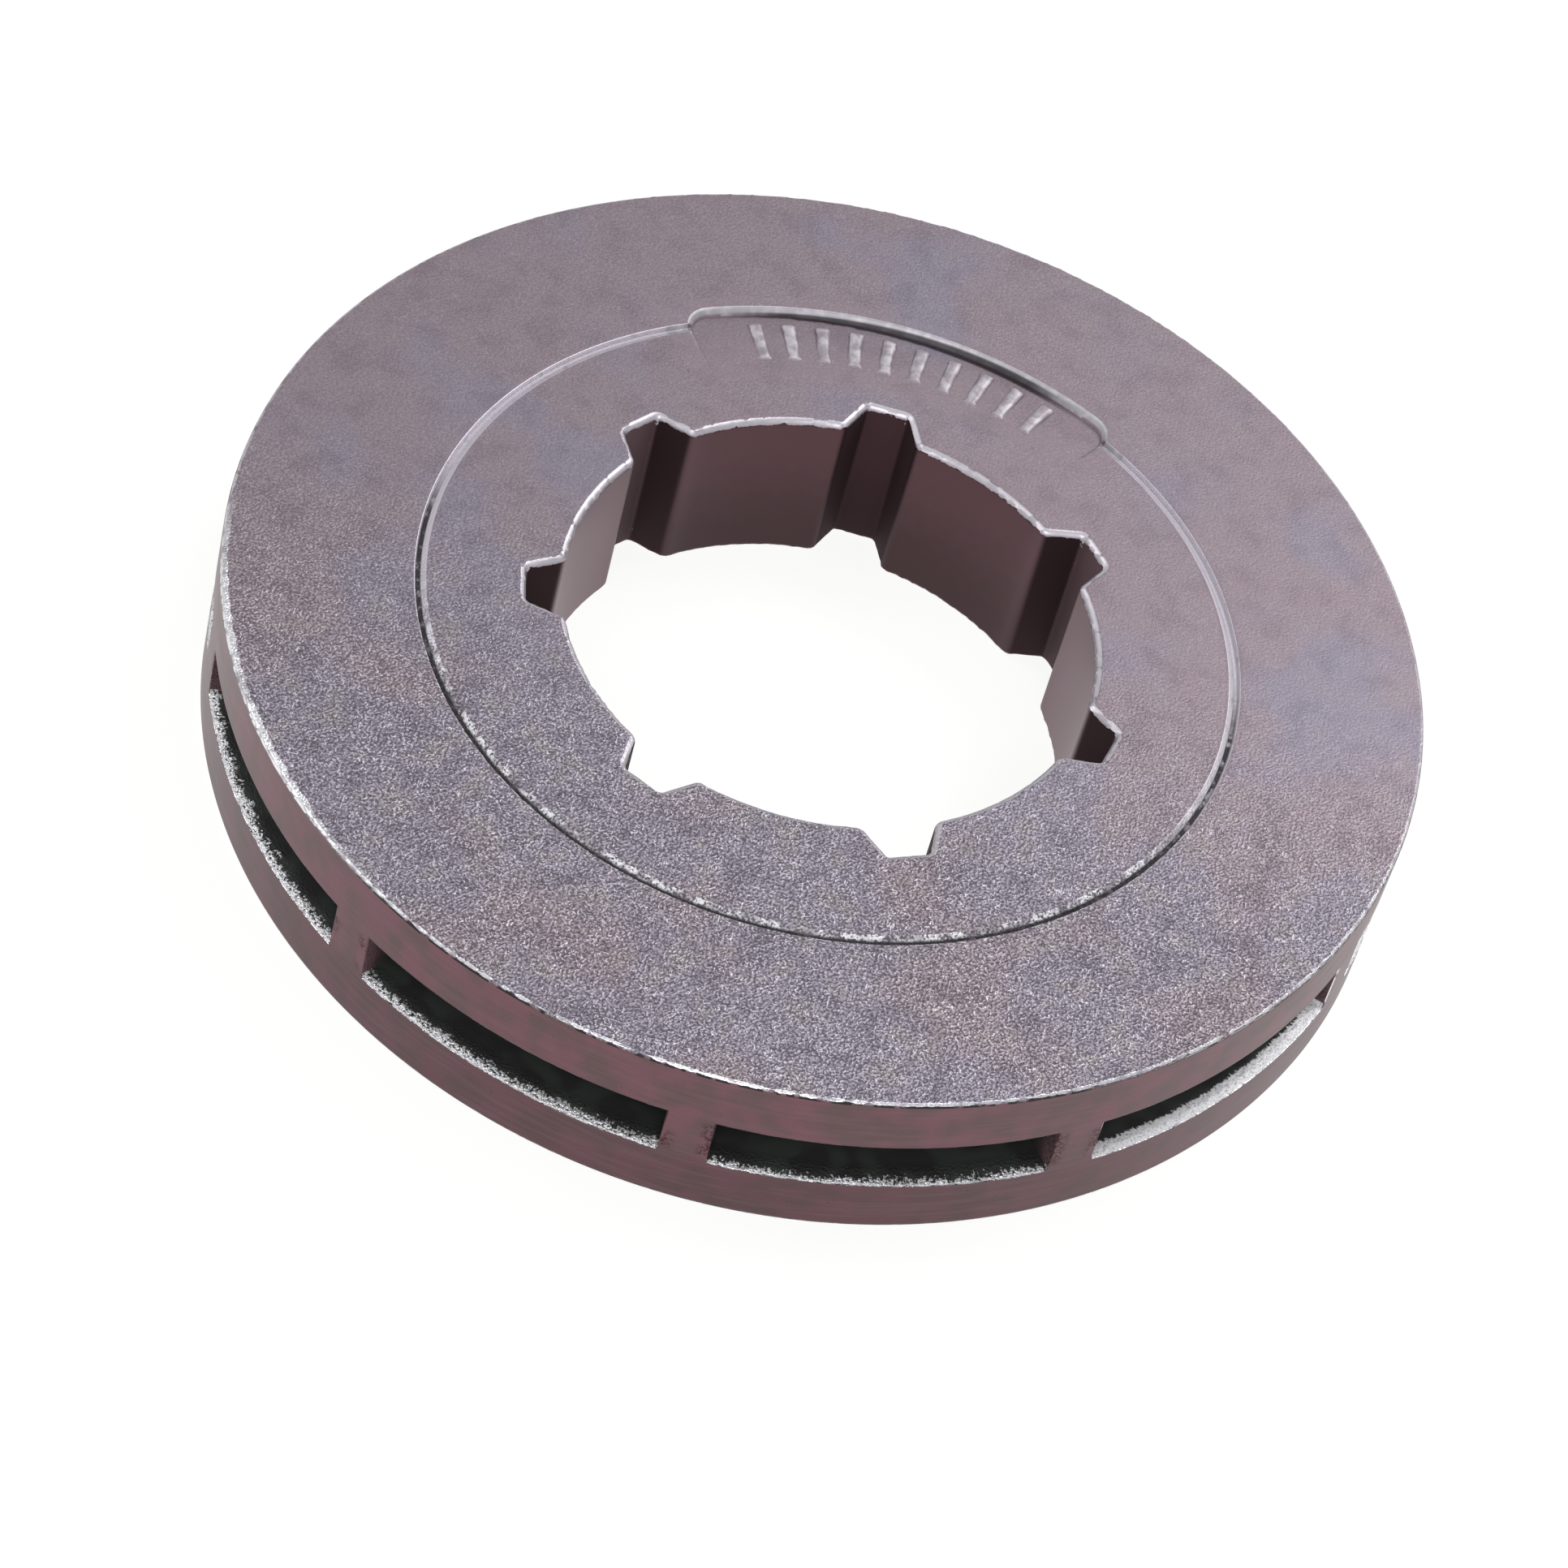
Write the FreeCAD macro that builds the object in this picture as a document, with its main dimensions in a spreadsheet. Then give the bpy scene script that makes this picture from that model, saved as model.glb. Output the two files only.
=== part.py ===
import FreeCAD, Part
import math
import os
import Sketcher

# Driving sizes, in millimetres and degrees

SIZES = {
    "rim_diameter": 55.0,
    "rim_thickness": 8.6,
    "rim_chamfer": 0.2,
    "pocket_count": 10,
    "pocket_height": 2.55,
    "pocket_floor_diameter": 41.0,
    "pocket_root_radius": 2.5,
    "web_width": 2.15,
    "key_count": 7,
    "land_diameter": 24.4,
    "key_depth": 1.65,
    "key_bottom_width": 1.95,
    "key_flank_angle": 23.0,
    "key_bottom_radius": 0.25,
    "key_mouth_radius": 0.5,
    "bore_chamfer": 0.3,
    "ring_diameter": 37.3,
    "ring_width": 0.6,
    "ring_bottom_width": 0.15,
    "ring_depth": 0.28,
    "panel_outer_diameter": 39.4,
    "panel_inner_diameter": 30.6,
    "panel_depth": 0.45,
    "panel_lip_angle": 30.0,
    "panel_angle": 65.4,
    "panel_corner_radius": 1.2,
    "cut_overrun": 1.0,
}

# How near an edge has to lie to the place where it is looked for

NEAR = 1e-4

# What a constraint calls the sketch's origin, its upright axis, a curve's ends and an arc's centre

ORIGIN = -1
UPRIGHT = -2
START = 1
END = 2
CENTRE = 3

MIDDLE = FreeCAD.Vector(0, 0, 0)
AXIS = FreeCAD.Vector(0, 0, 1)


def make_sheet(doc):
    """The spreadsheet that every feature takes its sizes from."""
    sheet = doc.addObject("Spreadsheet::Sheet", "sizes")
    for row, (name, value) in enumerate(SIZES.items(), start=1):
        sheet.set("A%d" % row, name)
        sheet.set("B%d" % row, str(value))
        sheet.setAlias("B%d" % row, name)
    doc.recompute()


def origin_feature(body, role):
    """One of the body's own origin planes or axes."""
    for item in body.Origin.OriginFeatures:
        if item.Role == role:
            return item
    raise ValueError("no origin feature has the role " + role)


def add_sketch(body, name, role):
    """An empty sketch on one of the body's own origin planes."""
    sketch = body.newObject("Sketcher::SketchObject", name)
    sketch.AttachmentSupport = [(origin_feature(body, role), "")]
    sketch.MapMode = "FlatFace"
    return sketch


def bind(sketch, name, rule, kind, *where):
    """Add a named constraint whose value follows the sheet."""
    value = sketch.evalExpression(rule)
    if kind == "Angle":
        value = math.radians(value.Value)
    index = sketch.addConstraint(Sketcher.Constraint(kind, *where, float(value)))
    sketch.renameConstraint(index, name)
    sketch.setExpression("Constraints." + name, rule)


def add_joints(sketch, joints):
    """Constraints without a size, each given as its kind and what it joins."""
    for joint in joints:
        sketch.addConstraint(Sketcher.Constraint(*joint))


def add_outline(sketch, points):
    """A closed outline of straight lines through the points, in order."""
    corners = [FreeCAD.Vector(x, y, 0) for x, y in points]
    count = len(corners)
    for index in range(count):
        sketch.addGeometry(Part.LineSegment(corners[index], corners[(index + 1) % count]))
    add_joints(sketch, [("Coincident", index, END, (index + 1) % count, START) for index in range(count)])


def mirrored(point):
    """The same point on the other side of the sketch's upright axis."""
    return FreeCAD.Vector(-point.x, point.y, 0)


def arc(centre, radius, first, last):
    """An arc that turns anticlockwise from the first point to the last."""
    start = math.atan2(first.y - centre.y, first.x - centre.x)
    stop = math.atan2(last.y - centre.y, last.x - centre.x)
    if stop < start:
        stop += 2 * math.pi
    return Part.ArcOfCircle(Part.Circle(centre, AXIS, radius), start, stop)


def section_sketch(body, name, role, corners):
    """A half section: each corner has a name, its distance from the axis and its height."""
    sketch = add_sketch(body, name, role)
    add_outline(sketch, [(float(sketch.evalExpression(across)), float(sketch.evalExpression(up)))
                         for corner, across, up in corners])
    for line, (corner, across, up) in enumerate(corners):
        bind(sketch, corner + "_across", across, "DistanceX", ORIGIN, START, line, START)
        bind(sketch, corner + "_up", up, "DistanceY", ORIGIN, START, line, START)
    return sketch


def turn_section(body, kind, name, sketch):
    """A section turned once round the axis, as a solid or as a cut."""
    feature = body.newObject("PartDesign::" + kind, name)
    feature.Profile = sketch
    feature.ReferenceAxis = (sketch, ["V_Axis"])
    feature.Angle = 360
    return feature


def make_pattern(body, name, original, count_rule):
    """Copies of a feature, evenly spaced round the axis."""
    pattern = body.newObject("PartDesign::PolarPattern", name)
    pattern.Originals = [original]
    pattern.Axis = (origin_feature(body, "Z_Axis"), [""])
    pattern.Angle = 360
    pattern.setExpression("Occurrences", count_rule)
    body.Tip = pattern
    return pattern


def dress_edges(doc, body, kind, name, wanted, setting, rule):
    """A fillet or a chamfer on the edges of the body so far that the test picks."""
    base = body.Tip
    names = ["Edge%d" % number for number, edge in enumerate(base.Shape.Edges, start=1) if wanted(edge)]
    if not names:
        raise ValueError(name + " finds no edges")
    feature = body.newObject("PartDesign::" + kind, name)
    feature.Base = (base, names)
    feature.setExpression(setting, rule)
    body.Tip = feature
    doc.recompute()


def check_cut(doc, feature, before):
    """The volume after a cut, which has to be less than before it."""
    doc.recompute()
    after = feature.Shape.Volume
    if not after < before - NEAR:
        raise ValueError(feature.Name + " removes no material")
    return after


def reach_of(point):
    """Distance of a point from the sprocket's axis."""
    return math.hypot(point.x, point.y)


def is_upright_at(edge, reach):
    """Whether a straight edge runs along the axis at this distance from it."""
    if len(edge.Vertexes) != 2:
        return False
    low, high = [vertex.Point for vertex in edge.Vertexes]
    upright = math.hypot(high.x - low.x, high.y - low.y) < NEAR
    return upright and abs(reach_of(low) - reach) < NEAR


def is_on_face(edge, height, reach):
    """Whether an edge lies at this height and no further than this from the axis."""
    return all(abs(vertex.Point.z - height) < NEAR and reach_of(vertex.Point) < reach + NEAR
               for vertex in edge.Vertexes)


def make_blank(doc, body):
    """The turned blank: a thick washer with its outer corners chamfered."""
    sketch = section_sketch(body, "blank_section", "XZ_Plane", [
        ("bore_low", "sizes.land_diameter / 2", "0"),
        ("face_low", "sizes.rim_diameter / 2 - sizes.rim_chamfer", "0"),
        ("edge_low", "sizes.rim_diameter / 2", "sizes.rim_chamfer"),
        ("edge_high", "sizes.rim_diameter / 2", "sizes.rim_thickness - sizes.rim_chamfer"),
        ("face_high", "sizes.rim_diameter / 2 - sizes.rim_chamfer", "sizes.rim_thickness"),
        ("bore_high", "sizes.land_diameter / 2", "sizes.rim_thickness"),
    ])
    blank = turn_section(body, "Revolution", "blank", sketch)
    doc.recompute()
    return blank.Shape.Volume


def make_keyways(doc, body, volume):
    """Tapered keyways along the bore, the first of them at the marking panel's side."""
    land = SIZES["land_diameter"] / 2
    bottom = land + SIZES["key_depth"]
    inside = land / 2
    half_bottom = SIZES["key_bottom_width"] / 2
    half_inside = half_bottom + (bottom - inside) * math.tan(math.radians(SIZES["key_flank_angle"]))
    sketch = add_sketch(body, "keyway_outline", "XY_Plane")
    add_outline(sketch, [(half_inside, inside), (half_bottom, bottom),
                         (-half_bottom, bottom), (-half_inside, inside)])
    right, across, left, inner = range(4)
    add_joints(sketch, [
        ("Symmetric", right, START, left, END, UPRIGHT),
        ("Symmetric", right, END, left, START, UPRIGHT),
    ])
    bind(sketch, "flank", "90 deg + sizes.key_flank_angle * 1 deg", "Angle", right)
    bind(sketch, "bottom_width", "sizes.key_bottom_width", "DistanceX", across, END, across, START)
    bind(sketch, "bottom_reach", "sizes.land_diameter / 2 + sizes.key_depth", "DistanceY",
         ORIGIN, START, across, START)
    bind(sketch, "inner_reach", "sizes.land_diameter / 4", "DistanceY", ORIGIN, START, inner, START)
    keyway = body.newObject("PartDesign::Pocket", "keyway")
    keyway.Profile = sketch
    keyway.Type = "ThroughAll"
    keyway.Reversed = True
    volume = check_cut(doc, keyway, volume)
    pattern = make_pattern(body, "keyways", keyway, "sizes.key_count")
    return check_cut(doc, pattern, volume)


def finish_bore(doc, body):
    """Rounded keyway corners, then one chamfer round the whole bore at each face."""
    land = SIZES["land_diameter"] / 2
    bottom_corner = math.hypot(land + SIZES["key_depth"], SIZES["key_bottom_width"] / 2)
    faces = (0, SIZES["rim_thickness"])
    dress_edges(doc, body, "Fillet", "keyway_corners",
                lambda edge: is_upright_at(edge, bottom_corner), "Radius", "sizes.key_bottom_radius")
    dress_edges(doc, body, "Fillet", "keyway_mouths",
                lambda edge: is_upright_at(edge, land), "Radius", "sizes.key_mouth_radius")
    dress_edges(doc, body, "Chamfer", "bore_chamfer",
                lambda edge: any(is_on_face(edge, height, bottom_corner) for height in faces),
                "Size", "sizes.bore_chamfer")
    return body.Tip.Shape.Volume


def make_pockets(doc, body, volume):
    """Blind slots round the rim for the chain's drive links, with parallel-sided webs between them."""
    half_pitch = math.pi / SIZES["pocket_count"]
    along_web = FreeCAD.Vector(math.sin(half_pitch), math.cos(half_pitch), 0)
    off_web = FreeCAD.Vector(-math.cos(half_pitch), math.sin(half_pitch), 0)
    half_web = SIZES["web_width"] / 2
    floor = SIZES["pocket_floor_diameter"] / 2
    root = SIZES["pocket_root_radius"]
    outside = SIZES["rim_diameter"] / 2 + SIZES["cut_overrun"]
    root_run = math.sqrt((floor + root) ** 2 - (half_web + root) ** 2)
    root_centre = along_web * root_run + off_web * (half_web + root)
    floor_end = root_centre * (floor / (floor + root))
    flank_foot = along_web * root_run + off_web * half_web
    flank_top = along_web * math.sqrt(outside ** 2 - half_web ** 2) + off_web * half_web

    sketch = add_sketch(body, "pocket_outline", "XY_Plane")
    sketch.AttachmentOffset = FreeCAD.Placement(MIDDLE, FreeCAD.Rotation(AXIS, math.degrees(half_pitch)))
    sketch.setExpression("AttachmentOffset.Base.z", "sizes.rim_thickness / 2 * 1 mm")
    sketch.setExpression("AttachmentOffset.Rotation.Angle", "180 deg / sizes.pocket_count")
    right_flank, left_flank, mouth, right_root, left_root, bottom = range(6)
    sketch.addGeometry(Part.LineSegment(flank_foot, flank_top))
    sketch.addGeometry(Part.LineSegment(mirrored(flank_foot), mirrored(flank_top)))
    sketch.addGeometry(arc(MIDDLE, outside, flank_top, mirrored(flank_top)))
    sketch.addGeometry(arc(root_centre, root, floor_end, flank_foot))
    sketch.addGeometry(arc(mirrored(root_centre), root, mirrored(flank_foot), mirrored(floor_end)))
    sketch.addGeometry(arc(MIDDLE, floor, floor_end, mirrored(floor_end)))
    add_joints(sketch, [
        ("Coincident", mouth, CENTRE, ORIGIN, START),
        ("Coincident", bottom, CENTRE, ORIGIN, START),
        ("Coincident", mouth, START, right_flank, END),
        ("Coincident", mouth, END, left_flank, END),
        ("Tangent", right_root, END, right_flank, START),
        ("Tangent", right_root, START, bottom, START),
        ("Tangent", left_root, START, left_flank, START),
        ("Tangent", left_root, END, bottom, END),
        ("Equal", right_root, left_root),
        ("Symmetric", right_flank, START, left_flank, START, UPRIGHT),
    ])
    bind(sketch, "flank", "90 deg - 180 deg / sizes.pocket_count", "Angle", right_flank)
    bind(sketch, "half_web", "sizes.web_width / 2", "Distance", ORIGIN, START, right_flank)
    bind(sketch, "floor", "sizes.pocket_floor_diameter / 2", "Radius", bottom)
    bind(sketch, "root", "sizes.pocket_root_radius", "Radius", right_root)
    bind(sketch, "outside", "sizes.rim_diameter / 2 + sizes.cut_overrun", "Radius", mouth)

    pocket = body.newObject("PartDesign::Pocket", "pocket")
    pocket.Profile = sketch
    pocket.Type = "Length"
    pocket.SideType = "Symmetric"
    pocket.setExpression("Length", "sizes.pocket_height")
    volume = check_cut(doc, pocket, volume)
    pattern = make_pattern(body, "pockets", pocket, "sizes.pocket_count")
    return check_cut(doc, pattern, volume)


def make_panel_block(doc):
    """The metal that the marking panel takes away: round-cornered, tapered, with a sloping underside."""
    block = doc.addObject("PartDesign::Body", "panel_block")
    half_angle = math.radians(SIZES["panel_angle"] / 2)
    along_end = FreeCAD.Vector(math.sin(half_angle), math.cos(half_angle), 0)
    off_end = FreeCAD.Vector(-math.cos(half_angle), math.sin(half_angle), 0)
    lip = SIZES["panel_outer_diameter"] / 2
    inside = SIZES["panel_inner_diameter"] / 2 - SIZES["cut_overrun"]
    corner = SIZES["panel_corner_radius"]
    corner_run = math.sqrt((lip - corner) ** 2 - corner ** 2)
    corner_centre = along_end * corner_run + off_end * corner
    end_foot = along_end * inside
    end_top = along_end * corner_run
    lip_end = corner_centre * (lip / (lip - corner))

    sketch = add_sketch(block, "panel_outline", "XY_Plane")
    sketch.setExpression("AttachmentOffset.Base.z", "sizes.rim_thickness * 1 mm")
    right_end, left_end, outer, right_corner, left_corner, inner = range(6)
    sketch.addGeometry(Part.LineSegment(end_foot, end_top))
    sketch.addGeometry(Part.LineSegment(mirrored(end_foot), mirrored(end_top)))
    sketch.addGeometry(arc(MIDDLE, lip, lip_end, mirrored(lip_end)))
    sketch.addGeometry(arc(corner_centre, corner, end_top, lip_end))
    sketch.addGeometry(arc(mirrored(corner_centre), corner, mirrored(lip_end), mirrored(end_top)))
    sketch.addGeometry(arc(MIDDLE, inside, end_foot, mirrored(end_foot)))
    add_joints(sketch, [
        ("Coincident", outer, CENTRE, ORIGIN, START),
        ("Coincident", inner, CENTRE, ORIGIN, START),
        ("Coincident", inner, START, right_end, START),
        ("Coincident", inner, END, left_end, START),
        ("Tangent", right_corner, START, right_end, END),
        ("Tangent", right_corner, END, outer, START),
        ("Tangent", left_corner, START, outer, END),
        ("Tangent", left_corner, END, left_end, END),
        ("Equal", right_corner, left_corner),
        ("PointOnObject", ORIGIN, START, right_end),
        ("PointOnObject", ORIGIN, START, left_end),
    ])
    bind(sketch, "right_turn", "90 deg - sizes.panel_angle / 2 * 1 deg", "Angle", right_end)
    bind(sketch, "left_turn", "90 deg + sizes.panel_angle / 2 * 1 deg", "Angle", left_end)
    bind(sketch, "lip", "sizes.panel_outer_diameter / 2", "Radius", outer)
    bind(sketch, "corner", "sizes.panel_corner_radius", "Radius", right_corner)
    bind(sketch, "inside", "sizes.panel_inner_diameter / 2 - sizes.cut_overrun", "Radius", inner)
    pad = block.newObject("PartDesign::Pad", "panel_walls")
    pad.Profile = sketch
    pad.Reversed = True
    pad.setExpression("Length", "sizes.panel_depth")
    pad.setExpression("TaperAngle", "-sizes.panel_lip_angle * 1 deg")
    doc.recompute()

    slope = "2 * sizes.panel_depth / (sizes.panel_outer_diameter - sizes.panel_inner_diameter)"
    near = "sizes.panel_inner_diameter / 2 - 2 * sizes.cut_overrun"
    far = "sizes.panel_outer_diameter / 2 + sizes.cut_overrun"
    below = "sizes.rim_thickness - sizes.panel_depth - sizes.cut_overrun"
    floor = section_sketch(block, "panel_floor_section", "XZ_Plane", [
        ("low_in", near, below),
        ("low_out", far, below),
        ("floor_out", far, "sizes.rim_thickness - sizes.panel_depth - sizes.cut_overrun * " + slope),
        ("floor_in", near, "sizes.rim_thickness + 2 * sizes.cut_overrun * " + slope),
    ])
    check_cut(doc, turn_section(block, "Groove", "panel_floor", floor), pad.Shape.Volume)
    return block


def make_panel(doc, body, volume):
    """The marking panel: a recess that is deepest at its outer lip and runs out towards the bore."""
    block = make_panel_block(doc)
    panel = body.newObject("PartDesign::Boolean", "panel")
    panel.setObjects([block])
    panel.Type = "Cut"
    return check_cut(doc, panel, volume)


def make_ring(doc, body, volume):
    """The fine ring in the upper face, which the marking panel interrupts."""
    middle = "sizes.ring_diameter / 2"
    sketch = section_sketch(body, "ring_section", "XZ_Plane", [
        ("bottom_in", middle + " - sizes.ring_bottom_width / 2", "sizes.rim_thickness - sizes.ring_depth"),
        ("bottom_out", middle + " + sizes.ring_bottom_width / 2", "sizes.rim_thickness - sizes.ring_depth"),
        ("face_out", middle + " + sizes.ring_width / 2", "sizes.rim_thickness"),
        ("above_out", middle + " + sizes.ring_width / 2", "sizes.rim_thickness + sizes.cut_overrun"),
        ("above_in", middle + " - sizes.ring_width / 2", "sizes.rim_thickness + sizes.cut_overrun"),
        ("face_in", middle + " - sizes.ring_width / 2", "sizes.rim_thickness"),
    ])
    check_cut(doc, turn_section(body, "Groove", "ring", sketch), volume)


def check_and_write(doc, body):
    """Stop on a failed feature, then write the sprocket's STEP file."""
    for item in doc.Objects:
        if "Invalid" in item.State or "Error" in item.State:
            raise ValueError("%s failed: %s" % (item.Name, item.State))
    shape = body.Shape
    if shape.isNull() or not shape.isValid() or len(shape.Solids) != 1:
        raise ValueError(body.Label + " is not one valid solid")
    os.makedirs("parts", exist_ok=True)
    shape.exportStep("parts/%s.step" % body.Label)
    box = shape.BoundBox
    print("%s: %.0f mm3, %.3f x %.3f x %.3f mm"
          % (body.Label, shape.Volume, box.XLength, box.YLength, box.ZLength))


doc = FreeCAD.newDocument("rim_sprocket_model")
make_sheet(doc)
sprocket = doc.addObject("PartDesign::Body", "sprocket")
sprocket.Label = "rim_sprocket"
sprocket.Placement = FreeCAD.Placement(MIDDLE, FreeCAD.Rotation())
blank_volume = make_blank(doc, sprocket)
make_keyways(doc, sprocket, blank_volume)
bored_volume = finish_bore(doc, sprocket)
slotted_volume = make_pockets(doc, sprocket, bored_volume)
marked_volume = make_panel(doc, sprocket, slotted_volume)
make_ring(doc, sprocket, marked_volume)
check_and_write(doc, sprocket)
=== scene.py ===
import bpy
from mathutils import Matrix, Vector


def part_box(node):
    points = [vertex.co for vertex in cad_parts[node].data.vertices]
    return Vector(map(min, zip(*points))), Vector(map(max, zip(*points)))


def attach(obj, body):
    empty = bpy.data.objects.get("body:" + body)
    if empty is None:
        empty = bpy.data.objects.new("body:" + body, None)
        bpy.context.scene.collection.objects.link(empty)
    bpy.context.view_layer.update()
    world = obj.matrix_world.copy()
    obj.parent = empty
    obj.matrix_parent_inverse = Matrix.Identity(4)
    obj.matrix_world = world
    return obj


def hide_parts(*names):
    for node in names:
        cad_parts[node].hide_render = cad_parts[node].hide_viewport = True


bl_info = {
    "name": "Rim sprocket looks",
    "version": (1, 0, 0),
    "blender": (4, 5, 0),
    "location": "3D View > Sidebar > Rim Sprocket",
    "description": "Models the worn, blasted steel rim sprocket and its studio round the packed part",
    "category": "Object",
}

import math

import bmesh
import bpy
from mathutils import Matrix, Vector

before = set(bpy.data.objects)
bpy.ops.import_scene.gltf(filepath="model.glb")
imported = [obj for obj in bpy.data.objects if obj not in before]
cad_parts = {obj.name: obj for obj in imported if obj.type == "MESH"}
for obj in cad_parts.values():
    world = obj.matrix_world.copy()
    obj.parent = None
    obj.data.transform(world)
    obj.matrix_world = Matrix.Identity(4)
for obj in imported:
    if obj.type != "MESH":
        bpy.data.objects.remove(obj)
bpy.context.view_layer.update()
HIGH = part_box("rim_sprocket")[1]

MM = 0.001
NEAR = 1e-6
UP = Vector((0, 0, 1))
FULL_TURN = 2 * math.pi
QUARTER = math.pi / 2

# lengths in the steel's material, in millimetres
GRAIN, WORM, CLUMP, STAIN, PATCH = 0.128, 0.2, 0.55, 1.7, 6.5
GRAIN_DEPTH = 0.05
LINE_LENGTH, LINE_HEIGHT = 4.0, 0.25
STRAW_WIDTH = 0.07
SHARP_FROM, SHARP_TO = 5.0, -16.0
RING_FROM, RING_TO = 18.2, 19.1
PANEL_FROM, PANEL_TO = 14.9, 20.4
BORE_TO = 14.4
EDGE_WIDTH = 0.5
LEDGE_LEFT, LEDGE_FRONT, LEDGE_RIGHT = 0.5, 0.34, 0.72

SLOT_LIP = 0.07 * MM
PANEL_LIP = 0.12 * MM
PANEL_ABOVE = 0.2 * MM
PANEL_LIP_FROM = 17.2 * MM
PANEL_FLOOR_STEPS = 160
RING_STEPS = 720
RING_SHIFT = 0.09 * MM
# where the ring's sides bend and end: shares of its half width and its depth
RING_BEND, RING_BRIM = 0.8, 1.1
RING_BEND_DEPTH, RING_BRIM_DEPTH = 0.14, -0.06
LEDGE_DEEP, LEDGE_PAST = 1.0 * MM, 0.3 * MM
LEDGE_ROWS, LEDGE_STEPS = 14, 150
# slope of each part of the ledge, and how far inside the rim it starts
LEDGE_FALLS = ((0.1, 0.62 * MM), (0.35, 0.39 * MM))
LEDGE_WAVES = (("Z", 0.28 * MM, 0.06 * MM), ("Z", 0.9 * MM, 0.05 * MM))
BORDER_WAVES = (("X", 0.5 * MM, 0.07 * MM), ("Y", 0.5 * MM, 0.07 * MM))
ROUNDING_WAVES = (("X", 0.35 * MM, 0.07 * MM), ("Y", 0.35 * MM, 0.07 * MM), ("Z", 0.3 * MM, 0.05 * MM))
STROKE_WAVES = (("X", 0.6 * MM, 0.12 * MM), ("Y", 0.6 * MM, 0.12 * MM), ("Z", 0.5 * MM, 0.05 * MM))
STROKE_SUNK = 0.1 * MM
STROKE_EDGE = 0.14 * MM
STROKE_TOP = 0.62, 0.93, 1

FLOOR_REACH = 1.6
FLOOR_GAP = 0.02 * MM
FLOOR_GREY = 0.20, 0.20, 0.20, 1
FLOOR_GLOW = 0.87
WORLD_COLOUR, WORLD_STRENGTH = (0.95, 0.97, 1.0, 1), 0.5
# name, watts, size in metres, bearing and rise in degrees, distance in metres
LAMPS = (
    ("key_lamp", 3.0, 0.5, 42, 50, 0.9),
    ("front_lamp", 2.2, 0.4, 178, 42, 0.9),
    ("left_lamp", 1.3, 0.35, 280, 50, 0.9),
)
CAMERA_LENS = 122.58
CAMERA_TARGET = Vector((-0.03, -6.68, 4.3)) * MM
CAMERA_BEARING, CAMERA_RISE, CAMERA_ROLL = 180.35, 47.71, 16.03
CAMERA_DISTANCE = 238.8 * MM


def length(name, description, metres):
    """A length setting for the sidebar."""
    return bpy.props.FloatProperty(name=name, description=description, default=metres, unit="LENGTH")


def angle(name, description, degrees):
    """An angle setting for the sidebar."""
    return bpy.props.FloatProperty(name=name, description=description, default=math.radians(degrees),
                                   subtype="ANGLE")


def whole_number(name, description, number):
    """A whole-number setting for the sidebar."""
    return bpy.props.IntProperty(name=name, description=description, default=number)


class SprocketSizes(bpy.types.PropertyGroup):
    """Sizes of the sprocket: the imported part's, apart from the worn ring's depth and bore edge."""

    rim_radius: length("Rim radius", "Outer radius of the two flanges", HIGH.x)
    thickness: length("Thickness", "Height from the lower face to the upper face", HIGH.z)
    rim_edge: length("Rim edge", "Width of the worn rounding round the rim", 0.2 * MM)
    rim_steps: whole_number("Rim steps", "Straight steps round the rim", 1440)
    slot_count: whole_number("Slots", "Slots for the chain round the rim", 10)
    slot_height: length("Slot height", "Height of each slot between the flanges", 2.55 * MM)
    slot_floor_radius: length("Slot floor radius", "Distance of the slots' floor from the axis", 20.5 * MM)
    slot_root: length("Slot root", "Radius in the inner corners of each slot", 2.5 * MM)
    web_width: length("Web width", "Thickness of the webs between the slots", 2.15 * MM)
    key_count: whole_number("Keyways", "Keyways round the bore", 7)
    land_radius: length("Land radius", "Radius of the bore between the keyways", 12.2 * MM)
    key_reach: length("Keyway reach", "Distance of a keyway's flat bottom from the axis", 13.85 * MM)
    key_width: length("Keyway width", "Width of a keyway at its flat bottom", 1.95 * MM)
    key_flank: angle("Keyway flank", "Angle of a keyway's flanks from its middle line", 23)
    key_corner: length("Keyway corner", "Radius of a keyway's bottom corners", 0.25 * MM)
    key_mouth: length("Keyway mouth", "Radius where a keyway's flank meets the bore", 0.5 * MM)
    bore_edge: length("Bore edge", "Width of the worn rounding round the bore", 0.34 * MM)
    ring_radius: length("Ring radius", "Middle radius of the fine ring", 18.65 * MM)
    ring_width: length("Ring width", "Width of the fine ring at the face", 0.6 * MM)
    ring_bottom: length("Ring bottom", "Width of the fine ring at its bottom", 0.15 * MM)
    ring_depth: length("Ring depth", "Depth of the fine ring", 0.22 * MM)
    panel_lip_radius: length("Panel lip", "Radius of the marking panel's outer lip", 19.7 * MM)
    panel_inner_radius: length("Panel run-out", "Radius where the panel's floor meets the face", 15.3 * MM)
    panel_depth: length("Panel depth", "Depth of the panel at its outer lip", 0.45 * MM)
    panel_taper: angle("Panel taper", "Angle of the panel's walls from upright", 30)
    panel_angle: angle("Panel angle", "Angle that the panel takes round the axis", 65.4)
    panel_corner: length("Panel corner", "Radius of the panel's outer corners", 1.2 * MM)
    stroke_width: length("Stroke width", "Width of a tally stroke at its foot", 0.78 * MM)
    stroke_height: length("Stroke height", "Height of a stroke's outer end over the panel's floor", 0.2 * MM)
    stroke_start: length("Stroke start", "Distance of the strokes' inner ends from the axis", 16.3 * MM)
    stroke_end: length("Stroke end", "Distance of the strokes' outer ends from the axis", 18.85 * MM)
    stroke_spread: angle("Stroke spread", "Angle that the strokes take round the axis", 50)


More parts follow.
